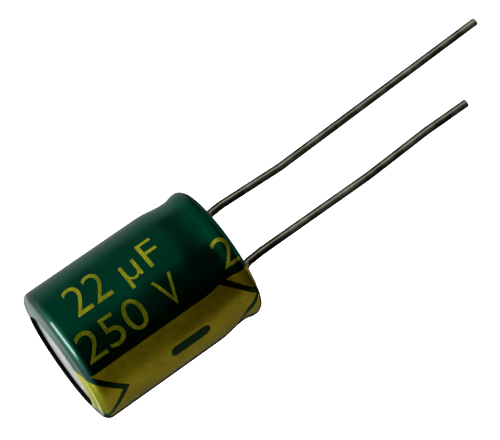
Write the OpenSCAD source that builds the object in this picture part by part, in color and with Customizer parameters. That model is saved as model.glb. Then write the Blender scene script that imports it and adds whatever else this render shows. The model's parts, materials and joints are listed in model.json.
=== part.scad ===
// Radial-lead aluminium electrolytic capacitor, nominal 10 x 13 mm, 5 mm lead pitch.
// The origin is on the can's axis in the plane that seats on a board.
// +Z runs up the can to its closed end, and both leads hang down in the XZ plane.

/* [Can] */
// Outside diameter of the drawn aluminium can
can_d = 10; // [8:0.1:12.5]
// Height of the bare can, from the curled rim to the closed end
can_h = 13; // [11:0.05:20]
// Thickness of the can's sheet
can_wall = 0.3; // [0.2:0.02:0.36]
// Outside radius of the bend between the wall and the closed end
can_corner_r = 0.45; // [0.4:0.05:1]
// Height of the curled rim above the board
rim_z = 0.2; // [0.1:0.05:0.5]
// Distance by which the curled rim lies inside the can's wall
rim_inset = 0.08; // [0:0.01:0.2]
// Inside radius of the curl at the rim
curl_in_r = 0.1; // [0.05:0.01:0.2]
// Angle through which the rim is curled in
curl_turn = 150; // [110:5:170]

/* [Bead] */
// Height of the straight rim between the curl and the bead groove
rim_land = 0.05; // [0.02:0.01:0.4]
// Depth of the bead groove below the wall
bead_depth = 0.85; // [0.5:0.05:0.9]
// Height over which the wall and the sleeve sink in, above the groove's root
bead_above = 2.25; // [1.6:0.05:2.4]
// Height over which they rise again, below the groove's root
bead_below = 0.9; // [0.8:0.05:1.25]
// Radius of the root of the groove, at mid-wall
bead_root_r = 0.5; // [0.4:0.05:0.55]

/* [Vent] */
// Length of each scored line of the pressure vent
vent_len = 6; // [3:0.1:6.8]
// Depth of the scored lines
vent_depth = 0.1; // [0.05:0.01:0.15]
// Turn of the scored cross about the can's axis
vent_turn = 20; // [0:5:90]

/* [Sleeve] */
// Thickness of the shrunk plastic sleeve
sleeve_wall = 0.13; // [0.08:0.01:0.2]
// Width of the sleeve's lip on the closed end, from the can's wall to its opening
sleeve_lip = 1.35; // [0.9:0.05:2.4]
// Height by which the lip's edge stands off the closed end
lip_rise = 0.17; // [0.05:0.01:0.25]
// Width of the sleeve's lip under the rim, past the bend
sleeve_foot = 0.25; // [0.1:0.05:0.35]
// Depth by which the sleeve sinks into the bead groove
neck_depth = 0.22; // [0.12:0.01:0.4]

/* [Polarity stripe] */
// Width of the printed stripe, measured straight across
stripe_w = 4.4; // [2:0.1:5]
// Thickness of the printed ink
ink_t = 0.02; // [0.02:0.01:0.05]
// Turn of the stripe's middle away from the cathode lead
stripe_turn = 10.5; // [0:0.5:30]
// Spacing of the arrow lines along the stripe
arrow_pitch = 11.15; // [8:0.05:12]
// Height of the lower arrow's point against the board, where it wraps under the rim
arrow_z = -0.18; // [-0.5:0.02:0.4]
// Width of the arrow lines
arrow_line = 0.43; // [0.2:0.01:0.8]
// Slope of the arrow lines from straight across the stripe
arrow_slope = 42.5; // [25:0.5:55]
// Length of the minus bar with its round ends
minus_len = 3.2; // [2:0.1:4]
// Width of the minus bar
minus_w = 0.85; // [0.4:0.05:1.2]
// Height of the minus bar's middle above the board
minus_z = 5.95; // [5:0.01:9]

/* [Bung] */
// Height of the rubber bung
bung_h = 3.6; // [3.4:0.1:5]
// Diameter of the dimple round each lead in the bung's face
dimple_d = 1.8; // [1.5:0.05:2]
// Depth of that dimple
dimple_depth = 0.15; // [0.05:0.05:0.3]

/* [Terminals] */
// Distance from the can's wall in to each lead, which sets the pitch of the two
lead_inset = 2.5; // [1.8:0.1:3]
// Diameter of the aluminium stem that fills the bung's hole
stem_d = 1.5; // [1.2:0.05:1.8]
// Height of the stem's lower end above the board
stem_z = 0.95; // [0.8:0.05:1.4]
// Length of stem that stands above the bung
stem_rise = 0.2; // [0.1:0.05:0.4]
// Width of the flattened tab
tab_w = 2; // [1.6:0.1:2.6]
// Thickness of the flattened tab
tab_t = 0.25; // [0.15:0.01:0.35]
// Length of tab that runs up inside the winding
tab_len = 6; // [4:0.1:7]
// Height over which the tab widens from the stem
tab_flare = 0.3; // [0.2:0.05:0.5]

/* [Winding] */
// Gap between the wound roll of foil and paper and the can's wall
roll_gap = 0.3; // [0.2:0.05:0.6]
// Height of the free space between the roll and the can's closed end
roll_room = 1.15; // [0.5:0.05:2]
// Space between the stems' shoulders and the roll
roll_lift = 0.3; // [0.3:0.05:0.6]
// Diameter of the hole that the winding pin leaves
mandrel_d = 1.2; // [0.8:0.1:1.6]
// Depth by which the foils lie below the paper's edges
foil_recess = 0.4; // [0.2:0.05:0.6]
// Radial distance from one shown foil edge to the next
turn_pitch = 0.4; // [0.3:0.05:0.8]
// Width of each shown foil edge
turn_gap = 0.14; // [0.1:0.01:0.2]
// Height of the tape round the roll
tape_h = 5; // [3:0.1:5.8]
// Thickness of the tape
tape_t = 0.06; // [0.04:0.01:0.08]
// Angle over which the tape's end overlaps its start
tape_lap = 50; // [20:5:120]

/* [Leads] */
// Diameter of the tinned steel wire
lead_d = 0.6; // [0.5:0.05:0.8]
// Diameter of the weld between wire and stem
weld_d = 0.95; // [0.85:0.05:1.1]
// Height of the weld
weld_h = 0.3; // [0.2:0.05:0.4]
// Radius of the bends in the wires, at mid-wire
lead_bend_r = 2; // [1:0.1:2.5]
// Extra thickness that a wire gets where it is bent
bend_swell = 0.01; // [0.01:0.005:0.03]
// Depth below the board's face at which both wires start to lean over
lean_start = 0.35; // [0.3:0.05:0.6]
// Depth at which both wires stand straight again
lean_end = 1.55; // [1.5:0.05:2.5]
// Sideways shift of both wires between those depths
lean_shift = 0.53; // [0:0.01:0.6]
// Depth at which the anode wire turns outwards
anode_kink = 7.2; // [5:0.1:12]
// Inward drift of the anode wire down to that depth
anode_drift = 0.2; // [0:0.01:0.4]
// Outward spread of the anode wire from there to its tip
anode_spread = 0.75; // [0:0.01:1]
// Length of the anode wire below the board's face
anode_len = 25.8; // [20:0.1:30]
// Depth at which the cathode wire leans inwards
cathode_kink = 11.5; // [8:0.1:14]
// Depth at which the cathode wire straightens
cathode_kink_end = 16.9; // [15:0.1:18]
// Inward shift of the cathode wire between those depths
cathode_shift = 0.28; // [0:0.01:0.6]
// Length of the cathode wire below the board's face
cathode_len = 20.6; // [19:0.1:28]

/* [Fits] */
// Gap between the sleeve and the can
sleeve_gap = 0.02; // [0.01:0.01:0.05]
// Gap between the bung and the can, and round what passes through the bung
bung_fit = 0.02; // [0.01:0.01:0.05]
// Gap round the tabs in the roll
tab_fit = 0.02; // [0.01:0.01:0.05]
// Gap between the roll and its tape
tape_fit = 0.01; // [0.01:0.01:0.02]

/* [Hidden] */
$fn = 96;

// An arc in a profile has a point at least every so many degrees
arc_step = 9;
// Amount by which a cutting tool passes the face that it cuts
past = 1;
// Angle by which a bend in a wire laps over the straight at each end
bend_lap = 1;

can_r = can_d / 2;
rim_r = can_r - rim_inset;
can_top = rim_z + can_h;
curl_r = curl_in_r + can_wall;
sleeve_r = can_r + sleeve_gap + sleeve_wall;
sleeve_top = can_top + sleeve_gap + sleeve_wall;
sleeve_mid = sleeve_gap + sleeve_wall / 2;
lip_run = sleeve_lip - can_corner_r;
curl_mid_r = curl_r - can_wall / 2;
curl_z = rim_z + curl_r;
bead_z = curl_z + rim_land + bead_below;
bead_rise = bead_depth - rim_inset;
neck_rise = neck_depth - rim_inset;
boss_r = rim_r - curl_r + curl_r * cos(curl_turn) - bung_fit;
shoulder_z = curl_z + bung_fit;
stem_top = bung_h + stem_rise;
roll_z = stem_top + roll_lift;
roll_h = can_top - can_wall - roll_room - roll_z;
roll_r = can_r - can_wall - roll_gap;
tape_in_r = roll_r + tape_fit;
sleeve_turn = 180 + stripe_turn;
anode_x = can_r - lead_inset;
cathode_x = -anode_x;

// Profiles are walked from the closed end to the rim. A place is [r, z, heading],
// and a step is [length, 0] for a straight or [radius, turn] for an arc.
function ahead(at, length) = [
    at[0] + length * cos(at[2]), at[1] + length * sin(at[2]), at[2]
];
function round_bend(at, radius, turn) =
    let (left = sign(turn) * 90, centre = ahead([at[0], at[1], at[2] + left], radius))
    let (out = ahead([centre[0], centre[1], at[2] + turn - left], radius))
    [out[0], out[1], at[2] + turn];
function stride(at, step) =
    step[1] == 0
        ? [ahead(at, step[0])]
        : let (n = max(2, ceil(abs(step[1]) / arc_step)))
          [for (k = [1 : n]) round_bend(at, step[0], step[1] * k / n)];
function walk(places, steps, i = 0) =
    i == len(steps)
        ? places
        : walk(concat(places, stride(places[len(places) - 1], steps[i])), steps, i + 1);
function side(places, shift) = [
    for (p = places) [p[0] - shift * sin(p[2]), p[1] + shift * cos(p[2])]
];
function backwards(points) = [for (i = [len(points) - 1 : -1 : 0]) points[i]];

// Turn of an S-bend that shifts a path sideways over a height, and its two radii together
function s_turn(shift, height) = 2 * atan(shift / height);
function s_reach(shift, height) = height / sin(s_turn(shift, height));

// Mid-wall path of the can: closed end, corner, wall, bead and rim, then the curl
wall_path = walk([[0, can_top - can_wall / 2, 0]], [
    [can_r - can_corner_r, 0],
    [can_corner_r - can_wall / 2, -90],
    [can_top - can_corner_r - bead_z - bead_above, 0],
    [s_reach(bead_depth, bead_above) - bead_root_r, -s_turn(bead_depth, bead_above)],
    [bead_root_r, s_turn(bead_depth, bead_above)],
    [bead_root_r, s_turn(bead_rise, bead_below)],
    [s_reach(bead_rise, bead_below) - bead_root_r, -s_turn(bead_rise, bead_below)],
    [rim_land, 0]
]);
can_path = walk(wall_path, [[curl_mid_r, -curl_turn]]);

// Mid-wall path of the sleeve: lip, corner, wall, neck, corner and foot
sleeve_path = walk([[can_r - sleeve_lip, can_top + sleeve_mid + lip_rise, 0]], [
    [s_reach(lip_rise, lip_run) / 2, -s_turn(lip_rise, lip_run)],
    [s_reach(lip_rise, lip_run) / 2, s_turn(lip_rise, lip_run)],
    [can_corner_r + sleeve_mid, -90],
    [can_top - can_corner_r - bead_z - bead_above, 0],
    [s_reach(neck_depth, bead_above) / 2, -s_turn(neck_depth, bead_above)],
    [s_reach(neck_depth, bead_above) / 2, s_turn(neck_depth, bead_above)],
    [s_reach(neck_rise, bead_below) / 2, s_turn(neck_rise, bead_below)],
    [s_reach(neck_rise, bead_below) / 2, -s_turn(neck_rise, bead_below)],
    [rim_land, 0],
    [curl_r + sleeve_mid, -90],
    [sleeve_foot, 0]
]);

// Sheet between two shifts of a path, turned about the axis
module turned_sheet(path, inner, outer) {
    rotate_extrude()
        polygon(concat(side(path, outer), backwards(side(path, inner))));
}

// Flat outline of the stripe's print: X runs along the can, Y across the stripe
module stripe_art() {
    difference() {
        translate([-past, -stripe_w / 2])
            square([sleeve_top + 2 * past, stripe_w]);
        for (k = [0, 1])
            translate([arrow_z + k * arrow_pitch, 0])
                arrow();
        minus_bar();
    }
}

module arrow() {
    run = stripe_w / 2 * tan(arrow_slope) + past;
    thick = arrow_line / cos(arrow_slope);
    reach = run / tan(arrow_slope);
    polygon([
        [0, 0], [run, reach], [run + thick, reach],
        [thick, 0],
        [run + thick, -reach], [run, -reach]
    ]);
}

module minus_bar() {
    straight = minus_len - minus_w;
    translate([minus_z, 0]) {
        square([straight, minus_w], center = true);
        for (end = [-1, 1])
            translate([end * straight / 2, 0])
                circle(d = minus_w);
    }
}

module sleeve() {
    color("#0b4a3a")
        turned_sheet(sleeve_path, -sleeve_wall / 2, sleeve_wall / 2);
}

module polarity_stripe() {
    color("#8a7d10")
        rotate([0, 0, sleeve_turn])
            intersection() {
                turned_sheet(sleeve_path, sleeve_wall / 2, sleeve_wall / 2 + ink_t);
                rotate([0, -90, 180])
                    linear_extrude(height = sleeve_r + past)
                        stripe_art();
            }
}

module can() {
    color("#c9cbcc")
        difference() {
            turned_sheet(can_path, -can_wall / 2, can_wall / 2);
            for (turn = [0, 90])
                rotate([0, 0, vent_turn + turn])
                    score_line();
        }
}

// A V-shaped groove across the closed end
module score_line() {
    width = vent_depth * sqrt(2);
    translate([-vent_len / 2, 0, can_top])
        rotate([45, 0, 0])
            translate([0, -width / 2, -width / 2])
                cube([vent_len, width, width]);
}

module bung() {
    color("#26241f")
        difference() {
            rotate_extrude()
                bung_outline();
            for (x = [anode_x, cathode_x])
                translate([x, 0, 0])
                    bung_hole();
        }
}

// The rubber fills the can up to its top face, and a boss passes through the curl
module bung_outline() {
    difference() {
        intersection() {
            polygon(concat(
                side(wall_path, -can_wall / 2 - bung_fit),
                [[rim_r - can_wall - bung_fit, 0], [0, 0]]));
            square([can_r, bung_h]);
        }
        translate([boss_r, -past])
            square([can_r, shoulder_z + past]);
    }
}

module bung_hole() {
    stem_bottom = stem_z - weld_h - bung_fit;
    translate([0, 0, -past])
        cylinder(h = bung_h, d = lead_d + 2 * bung_fit);
    translate([0, 0, stem_bottom])
        cylinder(h = bung_h, d = stem_d + 2 * bung_fit);
    cylinder(h = dimple_depth, d1 = dimple_d, d2 = lead_d + 2 * bung_fit);
}

// One aluminium wire: a round stem below, rolled flat into a tab above
module terminal(at) {
    translate([at, 0, 0]) {
        translate([0, 0, stem_z])
            cylinder(h = stem_top - stem_z, d = stem_d);
        translate([tab_t / 2, 0, stem_top])
            rotate([90, 0, -90])
                linear_extrude(height = tab_t)
                    tab_outline();
    }
}

module tab_outline() {
    polygon([
        [-stem_d / 2, 0], [stem_d / 2, 0],
        [tab_w / 2, tab_flare], [tab_w / 2, roll_lift + tab_len],
        [-tab_w / 2, roll_lift + tab_len], [-tab_w / 2, tab_flare]
    ]);
}

module anode_terminal() {
    color("#b4b6b8") terminal(anode_x);
}

module cathode_terminal() {
    color("#b4b6b8") terminal(cathode_x);
}

// The roll of anode foil, cathode foil and paper, with a slot for each tab
module winding() {
    color("#b99b6b")
        difference() {
            translate([0, 0, roll_z])
                cylinder(h = roll_h, r = roll_r);
            translate([0, 0, roll_z - past])
                cylinder(h = roll_h + 2 * past, d = mandrel_d);
            for (z = [roll_z - past, roll_z + roll_h - foil_recess])
                translate([0, 0, z])
                    foil_edges();
            for (x = [anode_x, cathode_x])
                translate([x, 0, roll_z])
                    cube([tab_t + 2 * tab_fit, tab_w + 2 * tab_fit,
                        2 * (tab_len + tab_fit)], center = true);
        }
}

// Rings where the foils' edges lie deeper than the paper's
module foil_edges() {
    first = mandrel_d / 2 + turn_pitch;
    last = roll_r - turn_pitch;
    for (r = [first : turn_pitch : last])
        rotate_extrude()
            translate([r, 0])
                square([turn_gap, foil_recess + past]);
}

module winding_tape() {
    color("#c7a53a")
        translate([0, 0, roll_z + (roll_h - tape_h) / 2]) {
            rotate_extrude()
                translate([tape_in_r, 0])
                    square([tape_t, tape_h]);
            rotate_extrude(angle = tape_lap)
                translate([tape_in_r, 0])
                    square([2 * tape_t, tape_h]);
        }
}

// Round wire through points [x, z] in the XZ plane, with a bend at each inner point
module wire(points) {
    last = len(points) - 1;
    for (i = [0 : last - 1])
        wire_straight(points[i], points[i + 1],
            bend_cut(points, i), bend_cut(points, i + 1));
    for (i = [1 : last - 1])
        wire_bend(points[i], heading(points, i - 1), heading(points, i));
}

function heading(points, i) =
    let (v = points[i + 1] - points[i]) atan2(v[1], v[0]);
function bend_cut(points, i) =
    i == 0 || i == len(points) - 1
        ? 0
        : lead_bend_r * tan(abs(heading(points, i) - heading(points, i - 1)) / 2);

module wire_straight(from, to, cut_from, cut_to) {
    run = to - from;
    along = run / norm(run);
    start = from + along * cut_from;
    translate([start[0], 0, start[1]])
        rotate([0, atan2(run[0], run[1]), 0])
            cylinder(h = norm(run) - cut_from - cut_to, d = lead_d);
}

module wire_bend(at, in_heading, out_heading) {
    turn = out_heading - in_heading;
    left = sign(turn) * 90;
    cut = lead_bend_r * tan(abs(turn) / 2);
    start = ahead([at[0], at[1], in_heading], -cut);
    centre = ahead([start[0], start[1], in_heading + left], lead_bend_r);
    if (turn != 0)
        translate([centre[0], 0, centre[1]])
            rotate([90, 0, 0])
                rotate([0, 0, min(in_heading, out_heading) - left - bend_lap])
                    rotate_extrude(angle = abs(turn) + 2 * bend_lap)
                        translate([lead_bend_r, 0])
                            circle(d = lead_d + bend_swell);
}

// The cone of weld metal that joins a wire to its stem
module weld(at) {
    translate([at, 0, stem_z - weld_h])
        cylinder(h = weld_h, d1 = lead_d, d2 = weld_d);
}

module anode_lead() {
    color("#6f705f") {
        weld(anode_x);
        wire([
            [anode_x, stem_z - weld_h / 2],
            [anode_x, -lean_start],
            [anode_x + lean_shift, -lean_end],
            [anode_x + lean_shift - anode_drift, -anode_kink],
            [anode_x + lean_shift - anode_drift + anode_spread, -anode_len]
        ]);
    }
}

module cathode_lead() {
    color("#6f705f") {
        weld(cathode_x);
        wire([
            [cathode_x, stem_z - weld_h / 2],
            [cathode_x, -lean_start],
            [cathode_x + lean_shift, -lean_end],
            [cathode_x + lean_shift, -cathode_kink],
            [cathode_x + lean_shift + cathode_shift, -cathode_kink_end],
            [cathode_x + lean_shift + cathode_shift, -cathode_len]
        ]);
    }
}

sleeve();
polarity_stripe();
can();
bung();
anode_terminal();
cathode_terminal();
anode_lead();
cathode_lead();
winding();
winding_tape();
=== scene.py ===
import bpy
import bmesh
import json
from math import atan2, cos, pi, radians, sin, tan
from mathutils import Euler, Matrix, Vector

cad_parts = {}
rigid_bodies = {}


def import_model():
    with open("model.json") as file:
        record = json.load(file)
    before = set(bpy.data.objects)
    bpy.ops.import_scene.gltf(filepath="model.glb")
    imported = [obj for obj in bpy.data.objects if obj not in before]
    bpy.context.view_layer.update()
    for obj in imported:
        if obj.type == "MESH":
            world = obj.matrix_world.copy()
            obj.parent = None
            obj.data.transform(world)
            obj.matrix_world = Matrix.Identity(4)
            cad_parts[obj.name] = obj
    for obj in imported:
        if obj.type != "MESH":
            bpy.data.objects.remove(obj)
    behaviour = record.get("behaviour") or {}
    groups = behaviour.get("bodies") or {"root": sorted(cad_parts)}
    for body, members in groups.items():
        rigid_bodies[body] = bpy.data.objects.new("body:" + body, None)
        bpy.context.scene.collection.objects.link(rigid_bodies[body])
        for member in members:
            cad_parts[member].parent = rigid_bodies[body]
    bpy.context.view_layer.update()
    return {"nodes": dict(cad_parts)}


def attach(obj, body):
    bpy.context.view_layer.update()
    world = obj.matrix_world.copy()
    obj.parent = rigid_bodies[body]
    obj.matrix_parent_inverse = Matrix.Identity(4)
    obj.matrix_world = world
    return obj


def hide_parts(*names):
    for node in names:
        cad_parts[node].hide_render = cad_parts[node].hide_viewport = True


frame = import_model()
MM = 0.001


# Winding.
# Two etched aluminium foils with paper between them, rolled up tight and soaked in
# electrolyte. The roll keeps its solid, since the can hides it.
PAPER_DARK = (0.36, 0.25, 0.12, 1)
PAPER_PALE = (0.46, 0.34, 0.18, 1)
NOISE_LOW = 0.3
NOISE_HIGH = 0.7


class Val:
    """A number socket in Python clothes: its operators add Math nodes."""

    def __init__(self, shade, socket):
        self.shade = shade
        self.socket = socket

    def math(self, operation, *values):
        node = self.shade.add("ShaderNodeMath", {"operation": operation})
        for socket, value in zip(node.inputs, values):
            self.shade.feed(socket, value)
        return Val(self.shade, node.outputs[0])

    def __add__(self, other):
        return self.math("ADD", self, other)

    def __radd__(self, other):
        return self.math("ADD", other, self)

    def __sub__(self, other):
        return self.math("SUBTRACT", self, other)

    def __rsub__(self, other):
        return self.math("SUBTRACT", other, self)

    def __mul__(self, other):
        return self.math("MULTIPLY", self, other)

    def __rmul__(self, other):
        return self.math("MULTIPLY", other, self)

    def below(self, other):
        return self.math("LESS_THAN", self, other)

    def between(self, low, high, to_low=0.0, to_high=1.0):
        """Maps one range onto another, and stays level past both ends."""
        node = self.shade.add("ShaderNodeMapRange", {"clamp": True}, Value=self,
                              From_Min=low, From_Max=high, To_Min=to_low, To_Max=to_high)
        return Val(self.shade, node.outputs[0])

    def spread(self, to_low=0.0, to_high=1.0):
        """Maps the range that most of a noise lies in onto another."""
        return self.between(NOISE_LOW, NOISE_HIGH, to_low, to_high)


class Shade:
    """A material whose nodes are added by one method."""

    def __init__(self, name):
        self.material = bpy.data.materials.new(name)
        self.material.use_nodes = True
        self.tree = self.material.node_tree
        self.surface = self.tree.nodes["Principled BSDF"]
        self.place = self.add("ShaderNodeTexCoord").outputs["Object"]

    def add(self, kind, settings=None, **values):
        """Adds a node, makes its settings, and then fills its sockets."""
        node = self.tree.nodes.new(kind)
        for name, value in (settings or {}).items():
            setattr(node, name, value)
        for name, value in values.items():
            self.feed(node.inputs[name.replace("_", " ")], value)
        return node

    def feed(self, socket, value):
        """Links a value to a socket, or sets a constant on it."""
        if isinstance(value, Val):
            value = value.socket
        if isinstance(value, bpy.types.NodeSocket):
            self.tree.links.new(value, socket)
        else:
            socket.default_value = value

    def noise(self, scale, detail=3, rough=0.5, stretch=(1, 1, 1)):
        """Noise on the object's own coordinates, which stretch can draw out."""
        drawn = self.add("ShaderNodeMapping", Vector=self.place, Scale=stretch)
        node = self.add("ShaderNodeTexNoise", Vector=drawn.outputs[0], Scale=scale,
                        Detail=detail, Roughness=rough)
        return Val(self, node.outputs[0])

    def mix(self, factor, first, second):
        """Mixes two colours, which are the node's sockets 6 and 7."""
        node = self.add("ShaderNodeMix", {"data_type": "RGBA"}, Factor=factor)
        self.feed(node.inputs[6], first)
        self.feed(node.inputs[7], second)
        return node.outputs[2]

    def axes(self):
        parts = self.add("ShaderNodeSeparateXYZ", Vector=self.place)
        return [Val(self, part) for part in parts.outputs]

    def bump(self, height, strength, distance):
        node = self.add("ShaderNodeBump", Height=height, Strength=strength, Distance=distance)
        self.feed(self.surface.inputs["Normal"], node.outputs[0])

    def finish(self, **values):
        """Fills the surface's own sockets and gives the material."""
        for name, value in values.items():
            self.feed(self.surface.inputs[name.replace("_", " ")], value)
        return self.material


def dress(piece, material):
    """Gives a piece its one material."""
    piece.data.materials.clear()
    piece.data.materials.append(material)


def paper_shade():
    shade = Shade("soaked_paper")
    grain = shade.noise(900, 5, 0.6, (1, 1, 0.2))
    tint = shade.mix(grain.spread(), PAPER_DARK, PAPER_PALE)
    shade.bump(grain, 0.3, 0.03 * MM)
    return shade.finish(Base_Color=tint, Roughness=grain.spread(0.45, 0.7))


dress(frame["nodes"]["winding"], paper_shade())


# Winding tape.
# A strip of amber plastic film, stuck once round the winding with its end over its
# start, so that the roll stays closed. It keeps its solid.
AMBER_DARK = (0.45, 0.26, 0.03, 1)
AMBER_PALE = (0.55, 0.33, 0.05, 1)


def tape_shade():
    shade = Shade("amber_film_tape")
    grain = shade.noise(400, 3, 0.5)
    tint = shade.mix(grain.spread(), AMBER_DARK, AMBER_PALE)
    shade.bump(grain, 0.15, 0.02 * MM)
    return shade.finish(Base_Color=tint, Roughness=grain.spread(0.15, 0.3))


dress(frame["nodes"]["winding_tape"], tape_shade())


# Terminals.
# Two aluminium stems, one for each pole, that fill the holes of the bung. Above it
# each is rolled flat into a tab inside the winding. They keep their solids.
STEM_DARK = (0.45, 0.46, 0.47, 1)
STEM_PALE = (0.62, 0.63, 0.64, 1)


def stem_shade():
    shade = Shade("etched_aluminium")
    grain = shade.noise(1200, 4, 0.6)
    tint = shade.mix(grain.spread(), STEM_DARK, STEM_PALE)
    shade.bump(grain, 0.3, 0.02 * MM)
    return shade.finish(Base_Color=tint, Metallic=1.0, Roughness=grain.spread(0.4, 0.6))


stem_finish = stem_shade()
for node in ("anode_terminal", "cathode_terminal"):
    dress(frame["nodes"][node], stem_finish)


# Leads.
# Two tinned steel wires, welded to the stems inside the bung. They lean over just
# under the board's plane, and handling has left slight bends lower down.
WIRE_R = 0.3 * MM
WIRE_SIDES = 24
WIRE_STEP = 1.5 * MM
WIRE_BEND = 1 * MM
BEND_STEPS = 5
WIRE_MERGE = 0.001 * MM
ANODE_RUN = [(2.5, 0.8), (2.5, 0), (2.95, -1.1), (3.03, -2.1), (2.83, -7.2), (3.58, -25.8)]
CATHODE_RUN = [(-2.5, 0.8), (-2.5, 0), (-2.07, -0.7), (-1.97, -2.0), (-1.97, -11.5),
               (-1.69, -16.9), (-1.69, -20.6)]
TIN_DULL = (0.5, 0.51, 0.36, 1)
TIN_BRIGHT = (1, 1, 0.76, 1)
SMOOTH_BELOW = radians(35)


def start():
    """Leaves edit mode and deselects everything, before a new primitive."""
    if bpy.context.object and bpy.context.object.mode == "EDIT":
        bpy.ops.object.mode_set(mode="OBJECT")
    bpy.ops.object.select_all(action="DESELECT")


def choose(piece):
    """Selects a piece alone and makes it the active one."""
    start()
    piece.select_set(True)
    bpy.context.view_layer.objects.active = piece


def edit(piece):
    """Opens a piece in edit mode, alone."""
    choose(piece)
    bpy.ops.object.mode_set(mode="EDIT")


def settle(piece, name):
    """Names a finished piece, puts its place into its mesh and smooths its faces."""
    choose(piece)
    bpy.ops.object.transform_apply(location=True, rotation=True, scale=True)
    bpy.ops.object.shade_smooth_by_angle(angle=SMOOTH_BELOW)
    piece.name = name
    piece.data.name = name
    return piece


def wire(run):
    """A round wire drawn down a path in the XZ plane, with a bend at each inner point."""
    points = [Vector((x, 0, z)) * MM for x, z in run]
    start()
    bpy.ops.mesh.primitive_circle_add(vertices=WIRE_SIDES, radius=WIRE_R, fill_type="NGON",
                                      location=points[0])
    bpy.ops.object.transform_apply(location=True)
    piece = bpy.context.object
    edit(piece)
    bpy.ops.mesh.select_all(action="SELECT")
    done = 0
    for k in range(1, len(points)):
        leg = points[k] - points[k - 1]
        along = leg.normalized()
        turn = 0
        bend_cut = 0
        if k < len(points) - 1:
            after = (points[k + 1] - points[k]).normalized()
            turn = atan2(along.cross(after).y, along.dot(after))
            bend_cut = WIRE_BEND * tan(abs(turn) / 2)
        reach = leg.length - done - bend_cut
        steps = max(1, round(reach / WIRE_STEP))
        for _ in range(steps):
            bpy.ops.mesh.extrude_region_move(
                TRANSFORM_OT_translate={"value": along * reach / steps})
        if turn:
            side = Vector((0, 1, 0)).cross(along) * (1 if turn > 0 else -1)
            centre = points[k] - along * bend_cut + side * WIRE_BEND
            bpy.ops.mesh.spin(steps=BEND_STEPS, angle=-turn, center=centre, axis=(0, 1, 0))
        done = bend_cut
    bpy.ops.mesh.select_all(action="SELECT")
    bpy.ops.mesh.remove_doubles(threshold=WIRE_MERGE)
    bpy.ops.mesh.normals_make_consistent(inside=False)
    start()
    return piece


def wire_shade(name):
    shade = Shade(name)
    cloud = shade.noise(700, 4, 0.6)
    drawn = shade.noise(2500, 3, 0.5, (1, 1, 0.02))
    tint = shade.mix(cloud.spread(), TIN_DULL, TIN_BRIGHT)
    shade.bump(drawn * 0.6 + cloud * 0.4, 0.3, 0.02 * MM)
    return shade.finish(Base_Color=tint, Metallic=1.0, Roughness=cloud.spread(0.24, 0.4))


for name, node, run in (("anode_wire", "anode_lead", ANODE_RUN),
                        ("cathode_wire", "cathode_lead", CATHODE_RUN)):
    piece = settle(wire(run), name)
    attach(piece, "root")
    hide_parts(node)
    dress(piece, wire_shade(f"{name}_tin"))


# Bung.
# A moulded plug of matt black butyl rubber, which seals the can round the two stems
# and is held by the can's bead and curled rim. It keeps its solid.
RUBBER_DARK = (0.012, 0.011, 0.010, 1)
RUBBER_PALE = (0.024, 0.022, 0.020, 1)


def rubber_shade():
    shade = Shade("butyl_rubber")
    grain = shade.noise(1500, 5, 0.6)
    tint = shade.mix(grain.spread(), RUBBER_DARK, RUBBER_PALE)
    shade.bump(grain, 0.4, 0.03 * MM)
    return shade.finish(Base_Color=tint, Roughness=grain.spread(0.6, 0.8))


dress(frame["nodes"]["bung"], rubber_shade())


# Can.
# A cup deep-drawn from aluminium sheet, with a cross scored in its closed end as a
# vent and its rim curled in on the bung. It keeps its solid.
CAN_DARK = (0.54, 0.56, 0.54, 1)
CAN_PALE = (0.78, 0.79, 0.77, 1)


def can_shade():
    shade = Shade("drawn_aluminium")
    grain = shade.noise(900, 4, 0.6, (1, 1, 0.1))
    haze = shade.noise(250, 3, 0.5)
    tint = shade.mix(haze.spread(), CAN_DARK, CAN_PALE)
    shade.bump(grain, 0.15, 0.01 * MM)
    return shade.finish(Base_Color=tint, Metallic=1.0, Roughness=grain.spread(0.48, 0.6))


dress(frame["nodes"]["can"], can_shade())


# Sleeve.
# A tube of dark green shrink film over the can. Heat has pulled it over the
# shoulder into a flat lip, down into the bead groove, and in under the curled rim.
SLEEVE_R = 5.137 * MM
SLEEVE_RIM_R = 5.07 * MM
SLEEVE_FOOT = 0.05 * MM
SLEEVE_TOP = 13.35 * MM
SLEEVE_WALL = 0.13 * MM
SLEEVE_SIDES = 192
MOUTH_R = 3.65 * MM
LIP_RISE = 0.17 * MM
LIP_RINGS = 12
FOOT_LIP_R = 4.27 * MM
SHOULDER_BEVEL = 0.6 * MM
FOOT_BEVEL = 0.55 * MM
BEVEL_STEPS = 10
NECK_R = SLEEVE_R - 0.22 * MM
NECK_ROOT = 1.55 * MM
NECK_ABOVE = 2.25 * MM
NECK_BELOW = 0.9 * MM
NECK_RINGS = 24
CUT_THRESHOLD = 0.0001 * MM
NEAR = 0.01 * MM
END_FACING = 0.9
END_CENTRE = 1 * MM
STRIPE_AZIMUTH = 190.5
GREEN_THIN = (0.0006, 0.118, 0.06, 1)
GREEN_THICK = (0.001, 0.148, 0.076, 1)
# Painted shade: a darker green for the film under and beside the stripe.
GREEN_PAINTED_SHADE_BY_STRIPE = (0.02, 0.072, 0.025, 1)
GREEN_SHOULDER = (0.006, 0.07, 0.05, 1)
GREEN_LIP = (0.01, 0.11, 0.075, 1)
# Painted shade: near black for the cut edge of the mouth, as if it lay in shadow.
CUT_EDGE_PAINTED_SHADE = (0.0005, 0.004, 0.002, 1)
STRIPE_SHADE_FROM = 3.9 * MM
STRIPE_SHADE_TO = 4.3 * MM
SHOULDER_FROM = 12.7 * MM
SHOULDER_TO = 12.95 * MM
LIP_FROM = 13.28 * MM
LIP_TO = 13.36 * MM


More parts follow.
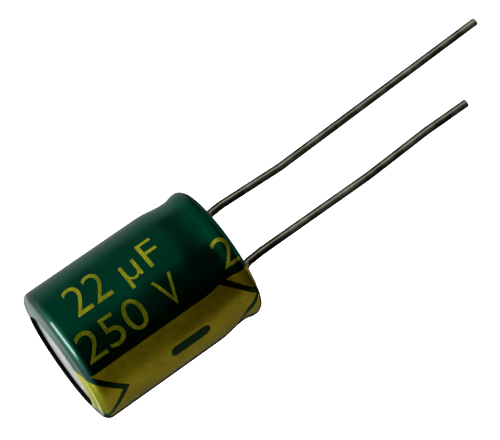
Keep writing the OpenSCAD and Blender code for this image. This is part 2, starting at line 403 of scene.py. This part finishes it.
def pick(kind, test):
    """Selects the vertices, edges or faces that pass a test of their place and normal."""
    bpy.ops.mesh.select_mode(type=kind)
    bpy.ops.mesh.select_all(action="DESELECT")
    mesh = bmesh.from_edit_mesh(bpy.context.object.data)
    if kind == "VERT":
        for vert in mesh.verts:
            vert.select = test(vert.co)
    elif kind == "EDGE":
        for edge in mesh.edges:
            edge.select = all(test(vert.co) for vert in edge.verts)
    else:
        for face in mesh.faces:
            face.select = test(face.calc_center_median(), face.normal)
    mesh.select_flush_mode()
    bmesh.update_edit_mesh(bpy.context.object.data)


def cut(place, normal, clear_outer=False):
    """Cuts the whole mesh with a plane, and can drop what lies past it."""
    bpy.ops.mesh.select_all(action="SELECT")
    bpy.ops.mesh.bisect(plane_co=place, plane_no=normal, clear_outer=clear_outer,
                        threshold=CUT_THRESHOLD)


def modify(piece, kind, **settings):
    """Adds a modifier to a piece and applies it."""
    choose(piece)
    modifier = piece.modifiers.new(kind.lower(), kind)
    for name, value in settings.items():
        setattr(modifier, name, value)
    bpy.ops.object.modifier_apply(modifier=modifier.name)


def neck_radius(z):
    """Radius of the sleeve at a height, where it sinks into the groove."""
    if z > NECK_ROOT:
        part = min(1, (z - NECK_ROOT) / NECK_ABOVE)
        return NECK_R + (SLEEVE_R - NECK_R) * (1 - cos(pi * part)) / 2
    part = min(1, (NECK_ROOT - z) / NECK_BELOW)
    return NECK_R + (SLEEVE_RIM_R - NECK_R) * (1 - cos(pi * part)) / 2


def sleeve_skin():
    """The outer skin of the sleeve, open at both ends."""
    start()
    bpy.ops.mesh.primitive_cylinder_add(
        vertices=SLEEVE_SIDES, radius=SLEEVE_R, depth=SLEEVE_TOP - SLEEVE_FOOT,
        location=(0, 0, (SLEEVE_TOP + SLEEVE_FOOT) / 2))
    skin = bpy.context.object
    bpy.ops.object.transform_apply(location=True)
    edit(skin)
    neck_foot = NECK_ROOT - NECK_BELOW
    rings = [neck_foot + (NECK_ABOVE + NECK_BELOW) * k / NECK_RINGS
             for k in range(NECK_RINGS + 1)]
    for z in rings:
        cut((0, 0, z), (0, 0, 1))
    for z in [SLEEVE_FOOT] + rings:
        pick("VERT", lambda at: abs(at.z - z) < NEAR)
        shrink = neck_radius(z) / SLEEVE_R
        bpy.ops.transform.resize(value=(shrink, shrink, 1), center_override=(0, 0, z))
    pick("EDGE", lambda at: at.z > SLEEVE_TOP - NEAR)
    bpy.ops.mesh.bevel(offset=SHOULDER_BEVEL, segments=BEVEL_STEPS, affect="EDGES")
    pick("EDGE", lambda at: at.z < SLEEVE_FOOT + NEAR)
    bpy.ops.mesh.bevel(offset=FOOT_BEVEL, segments=BEVEL_STEPS, affect="EDGES")
    pick("FACE", lambda at, normal: normal.z > END_FACING and at.xy.length < END_CENTRE)
    run = SLEEVE_R - SHOULDER_BEVEL - MOUTH_R
    rises = [LIP_RISE * (1 - cos(pi * k / LIP_RINGS)) / 2 for k in range(LIP_RINGS + 1)]
    for low, high in zip(rises, rises[1:]):
        bpy.ops.mesh.inset(thickness=run / LIP_RINGS, depth=high - low)
    bpy.ops.mesh.delete(type="FACE")
    pick("FACE", lambda at, normal: normal.z < -END_FACING and at.xy.length < END_CENTRE)
    bpy.ops.mesh.inset(thickness=SLEEVE_RIM_R - FOOT_BEVEL - FOOT_LIP_R)
    bpy.ops.mesh.delete(type="FACE")
    start()
    return skin


def sleeve_shade():
    """Green film, darker under and beside the stripe and near black on the cut edge of its
    mouth, both painted shade, and duller on its shoulder.
    """
    shade = Shade("green_shrink_film")
    cloud = shade.noise(260, 4, 0.6)
    speck = shade.noise(2600, 2, 0.5)
    ripple = shade.noise(500, 3, 0.5, (1, 1, 0.35))
    x, y, z = shade.axes()
    green = shade.mix(cloud.between(0.35, 0.7), GREEN_THIN, GREEN_THICK)
    to_stripe = x * cos(radians(STRIPE_AZIMUTH)) + y * sin(radians(STRIPE_AZIMUTH))
    # Painted shade: the green darkens towards the stripe, for the dark band that the lights
    # leave there.
    painted_shade_by_stripe = to_stripe.between(STRIPE_SHADE_FROM, STRIPE_SHADE_TO)
    film = shade.mix(painted_shade_by_stripe, green, GREEN_PAINTED_SHADE_BY_STRIPE)
    bend = z.between(SHOULDER_FROM, SHOULDER_TO)
    lip = z.between(LIP_FROM, LIP_TO)
    # Painted shade: the cut edge round the mouth is made near black.
    shaded_cut_edge = (x * x + y * y).below((MOUTH_R + NEAR) ** 2)
    shoulder = shade.mix(bend, film, GREEN_SHOULDER)
    skin_tint = shade.mix(lip, shoulder, GREEN_LIP)
    tint = shade.mix(shaded_cut_edge, skin_tint, CUT_EDGE_PAINTED_SHADE)
    shade.bump(ripple * 0.7 + speck * 0.3, 0.2, 0.015 * MM)
    return shade.finish(
        Base_Color=tint, Metallic=1.0,
        Roughness=cloud.spread(0.24, 0.32) + bend * 0.22 - lip * 0.22,
        Coat_Weight=bend * 0.5 - lip * 0.3, Coat_Roughness=0.1, Coat_IOR=1.8)


sleeve = sleeve_skin()

# The stripe is made of a copy of the skin, taken before the sleeve gets its wall.
choose(sleeve)
bpy.ops.object.duplicate()
stripe = bpy.context.object

modify(sleeve, "SOLIDIFY", thickness=SLEEVE_WALL, offset=-1, use_even_offset=True)
settle(sleeve, "sleeve_film")
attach(sleeve, "root")
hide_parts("sleeve")
dress(sleeve, sleeve_shade())


# Polarity stripe.
# Yellow ink printed on the film before it was shrunk, so that it follows the film
# over both ends. Two arrows and a minus bar are left unprinted and show the green.
STRIPE_HALF = 2.2 * MM
INK = 0.02 * MM
ARROW_Z = -0.18 * MM
ARROW_PITCH = 11.15 * MM
ARROW_TIPS = (ARROW_Z, ARROW_Z + ARROW_PITCH)
ARROW_SLOPE = radians(42.5)
ARROW_WIDTH = 0.43 * MM
ARROW_LINE = ARROW_WIDTH / cos(ARROW_SLOPE)
BAR_LEN = 3.2 * MM
BAR_WIDTH = 0.85 * MM
BAR_DEPTH = 2 * MM
BAR_Z = 5.95 * MM
BAR_ROUND = 0.999 * BAR_WIDTH / 2
BAR_STEPS = 16
STRIPE_THIN = (0.62, 0.46, 0.006, 1)
STRIPE_THICK = (0.9, 0.73, 0.014, 1)
INK_ON_SHOULDER = (0.72, 0.76, 0.03, 1)
INK_GLINT = (0.75, 0.75, 0.3, 1)
INK_SHOULDER_FROM = 12.75 * MM
INK_SHOULDER_TO = 13.1 * MM

stripe_out = Matrix.Rotation(radians(STRIPE_AZIMUTH), 3, "Z") @ Vector((1, 0, 0))
stripe_side = Matrix.Rotation(radians(STRIPE_AZIMUTH), 3, "Z") @ Vector((0, 1, 0))


def in_arrow(at, normal):
    """Whether a face lies inside one of the arrows' lines."""
    reach = abs(at.dot(stripe_side)) * tan(ARROW_SLOPE)
    return any(tip < at.z - reach < tip + ARROW_LINE for tip in ARROW_TIPS)


def bar_cutter():
    """A round-ended bar that passes through the film where the minus stays bare."""
    start()
    bpy.ops.mesh.primitive_cube_add(size=1, location=(0, 0, 0))
    bar = bpy.context.object
    bar.scale = (BAR_DEPTH, BAR_WIDTH, BAR_LEN)
    bpy.ops.object.transform_apply(scale=True)
    edit(bar)
    bpy.ops.mesh.select_mode(type="EDGE")
    bpy.ops.mesh.select_all(action="DESELECT")
    mesh = bmesh.from_edit_mesh(bar.data)
    for edge in mesh.edges:
        edge.select = abs(edge.verts[0].co.x - edge.verts[1].co.x) > BAR_DEPTH / 2
    mesh.select_flush_mode()
    bmesh.update_edit_mesh(bar.data)
    bpy.ops.mesh.bevel(offset=BAR_ROUND, segments=BAR_STEPS, affect="EDGES")
    start()
    bar.matrix_world = (Matrix.Translation(stripe_out * SLEEVE_R + Vector((0, 0, BAR_Z)))
                        @ Matrix.Rotation(radians(STRIPE_AZIMUTH), 4, "Z"))
    return bar


def ink_shade(name, thin, thick):
    """Ink that covers unevenly, and looks greener where the film bends over."""
    shade = Shade(name)
    cloud = shade.noise(300, 4, 0.6)
    speck = shade.noise(3000, 2, 0.5)
    cover = cloud * 0.7 + speck * 0.3
    bend = shade.axes()[2].between(INK_SHOULDER_FROM, INK_SHOULDER_TO)
    print_tint = shade.mix(cover.between(0.39, 0.61), thin, thick)
    tint = shade.mix(bend, print_tint, INK_ON_SHOULDER)
    shade.bump(shade.noise(500, 3, 0.5, (1, 1, 0.35)), 0.15, 0.015 * MM)
    return shade.finish(Base_Color=tint, Metallic=0.91, Roughness=cloud.spread(0.26, 0.36),
                        Specular_Tint=INK_GLINT,
                        Coat_Weight=0.6, Coat_Roughness=0.15, Coat_IOR=1.4)


edit(stripe)
cut((0, 0, 0), -stripe_out, True)
cut(stripe_side * STRIPE_HALF, stripe_side, True)
cut(-stripe_side * STRIPE_HALF, -stripe_side, True)
for tip in ARROW_TIPS:
    for line in (tip, tip + ARROW_LINE):
        for way in (1, -1):
            slope = way * sin(ARROW_SLOPE) * stripe_side - cos(ARROW_SLOPE) * Vector((0, 0, 1))
            cut((0, 0, line), slope)
pick("FACE", in_arrow)
bpy.ops.mesh.delete(type="FACE")
modify(stripe, "SOLIDIFY", thickness=INK, offset=1, use_even_offset=True)
bar = bar_cutter()
modify(stripe, "BOOLEAN", object=bar, operation="DIFFERENCE", solver="EXACT")
bpy.data.objects.remove(bar)
settle(stripe, "stripe_print")
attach(stripe, "root")
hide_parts("polarity_stripe")
dress(stripe, ink_shade("yellow_ink", STRIPE_THIN, STRIPE_THICK))


# Rating print.
# Plain figures for the capacitance and the voltage, printed in the same ink and read
# along the can. The print repeats down the film, so a figure stands again by the rim.
PRINT_INK = 0.012 * MM
STROKE_TRIM = 0.02 * MM
FIGURE_HEIGHT = 0.685
CURVE_STEPS = 8
STRIP = 0.2 * MM
STRIPS_DOWN = 4
STRIPS_UP = 20
STRIPS_ALONG = 40
PRINT_THIN = (0.4, 0.46, 0.012, 1)
PRINT_THICK = (0.95, 0.95, 0.025, 1)

# Each has its text, the heights in mm where it starts and ends, its azimuth in
# degrees and how tall its figures stand in mm.
PRINT = [
    ("22", 11.47, 8.54, 257.7, 2.46),
    ("µF", 7.43, 4.4, 257.7, 2.09),
    ("250", 12.62, 7.52, 224.0, 2.17),
    ("V", 6.28, 4.72, 224.0, 2.17),
    ("2", 1.57, 0.2, 224.0, 2.17),
]


def figures(text, length, height):
    """Flat text made a mesh, with its strokes trimmed, and cut into strips to bend.

    FIGURE_HEIGHT is how tall a figure stands in text of size 1.
    """
    start()
    bpy.ops.object.text_add(location=(0, 0, 0))
    piece = bpy.context.object
    piece.data.body = text
    piece.data.resolution_u = CURVE_STEPS
    bpy.ops.object.convert(target="MESH")
    piece = bpy.context.object
    left = min(vert.co.x for vert in piece.data.vertices)
    right = max(vert.co.x for vert in piece.data.vertices)
    edit(piece)
    bpy.ops.mesh.select_all(action="SELECT")
    bpy.ops.transform.translate(value=(-left, 0, 0))
    bpy.ops.transform.resize(value=(length / (right - left), height / FIGURE_HEIGHT, 1),
                             center_override=(0, 0, 0))
    bpy.ops.mesh.select_mode(type="FACE")
    bpy.ops.mesh.inset(thickness=STROKE_TRIM, use_boundary=True)
    bpy.ops.mesh.select_all(action="INVERT")
    bpy.ops.mesh.delete(type="FACE")
    for k in range(-STRIPS_DOWN, STRIPS_UP):
        cut((0, k * STRIP, 0), (0, 1, 0))
    for k in range(1, STRIPS_ALONG):
        cut((k * STRIP, 0, 0), (1, 0, 0))
    start()
    return piece


for number, (text, start_z, end_z, azimuth, height) in enumerate(PRINT, 1):
    piece = figures(text, (start_z - end_z) * MM, height * MM)
    for vert in piece.data.vertices:
        turn = radians(azimuth) + vert.co.y / SLEEVE_R
        z = start_z * MM - vert.co.x
        vert.co = (SLEEVE_R * cos(turn), SLEEVE_R * sin(turn), z)
    modify(piece, "SHRINKWRAP", target=sleeve, wrap_method="NEAREST_SURFACEPOINT",
           offset=PRINT_INK)
    settle(piece, f"rating_print_{number}")
    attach(piece, "root")
    dress(piece, ink_shade(f"rating_ink_{number}", PRINT_THIN, PRINT_THICK))


# Floor and white surround.
# A plain white floor under the tips of the wires, in a white world. Both are a
# background alone: the capacitor neither mirrors them nor is lit by them.
FLOOR_Z = -25.9 * MM
FLOOR_SIZE = 6
FLOOR_GREY = (0.9, 0.9, 0.9, 1)
FLOOR_PALE = (0.92, 0.92, 0.92, 1)
WHITE = (1, 1, 1, 1)

start()
bpy.ops.mesh.primitive_plane_add(size=FLOOR_SIZE, location=(0, 0, FLOOR_Z))
floor = settle(bpy.context.object, "floor")
floor_shade = Shade("white_floor")
floor_tint = floor_shade.mix(floor_shade.noise(3), FLOOR_GREY, FLOOR_PALE)
dress(floor, floor_shade.finish(Base_Color=floor_tint, Roughness=0.9,
                                Emission_Color=WHITE, Emission_Strength=1.1))
floor.visible_glossy = False
floor.visible_diffuse = False
floor.visible_shadow = False
floor_shade.material.cycles.emission_sampling = "NONE"

world = bpy.data.worlds.new("studio")
bpy.context.scene.world = world
world.use_nodes = True
world.node_tree.nodes["Background"].inputs["Color"].default_value = WHITE
world.node_tree.nodes["Background"].inputs["Strength"].default_value = 1.0
world.cycles_visibility.glossy = False
world.cycles_visibility.diffuse = False
world.cycles.sampling_method = "NONE"
bpy.context.scene.view_settings.view_transform = "Standard"


# Lights.
# Soft panels all round, whose reflections shade the sleeve from dark to pale, and a
# strip light that draws the white line on its shoulder. The wires have their own panel.
LIGHT_AWAY = 0.6


def panel(name, azimuth, elevation, wide, tall, glow):
    """A panel, sized in metres, that faces the can from a direction in degrees."""
    light = bpy.data.objects.new(name, bpy.data.lights.new(name, "AREA"))
    bpy.context.scene.collection.objects.link(light)
    light.data.shape = "RECTANGLE"
    light.data.size = wide
    light.data.size_y = tall
    light.data.energy = glow * pi * wide * tall
    light.visible_camera = False
    away = Vector((cos(radians(elevation)) * cos(radians(azimuth)),
                   cos(radians(elevation)) * sin(radians(azimuth)), sin(radians(elevation))))
    light.location = away * LIGHT_AWAY
    light.rotation_euler = (-away).to_track_quat("-Z", "Y").to_euler()
    return light


for_body = [panel("upper_panel", 301, 22, 1.32, 1.2, 0.2),
            panel("lower_panel", 121, 10, 0.87, 1.2, 0.14),
            panel("far_panel", 17, 20, 0.78, 1.2, 0.38),
            panel("back_panel", 50, 32, 0.36, 0.6, 0.66)]
for_wires = [panel("wire_panel", 281, 0, 0.42, 1.2, 0.32)]
panel("top_panel", 200, 80, 0.8, 0.8, 0.5)
panel("strip_light", 272, 54, 0.62, 0.27, 11)
panel("bounce_panel", 330, -79, 1.15, 1.15, 0.2)

body = bpy.data.collections.new("body")
wires = bpy.data.collections.new("wires")
for piece in bpy.context.scene.objects:
    if piece.type == "MESH":
        group = wires if piece.name in ("anode_wire", "cathode_wire") else body
        group.objects.link(piece)
for light in for_body:
    light.light_linking.receiver_collection = body
for light in for_wires:
    light.light_linking.receiver_collection = wires


# Camera.
# It looks slightly down on the closed end, from 5 degrees above it, and is rolled so
# that the can lies across the picture with its wires to the upper right.
CAMERA_AT = Vector((-63.49, -105.01, 24.91)) * MM
CAMERA_AIM = Vector((0.13, -0.81, -2.73)) * MM
CAMERA_ROLL = -124.88
LENS = 129.6
SENSOR = 36
CLIP_START = 1 * MM

camera = bpy.data.objects.new("camera", bpy.data.cameras.new("camera"))
bpy.context.scene.collection.objects.link(camera)
bpy.context.scene.camera = camera
camera.data.lens = LENS
camera.data.sensor_width = SENSOR
camera.data.clip_start = CLIP_START
level = (CAMERA_AIM - CAMERA_AT).to_track_quat("-Z", "Y").to_matrix()
roll = Euler((0, 0, radians(CAMERA_ROLL))).to_matrix()
camera.matrix_world = Matrix.Translation(CAMERA_AT) @ (level @ roll).to_4x4()
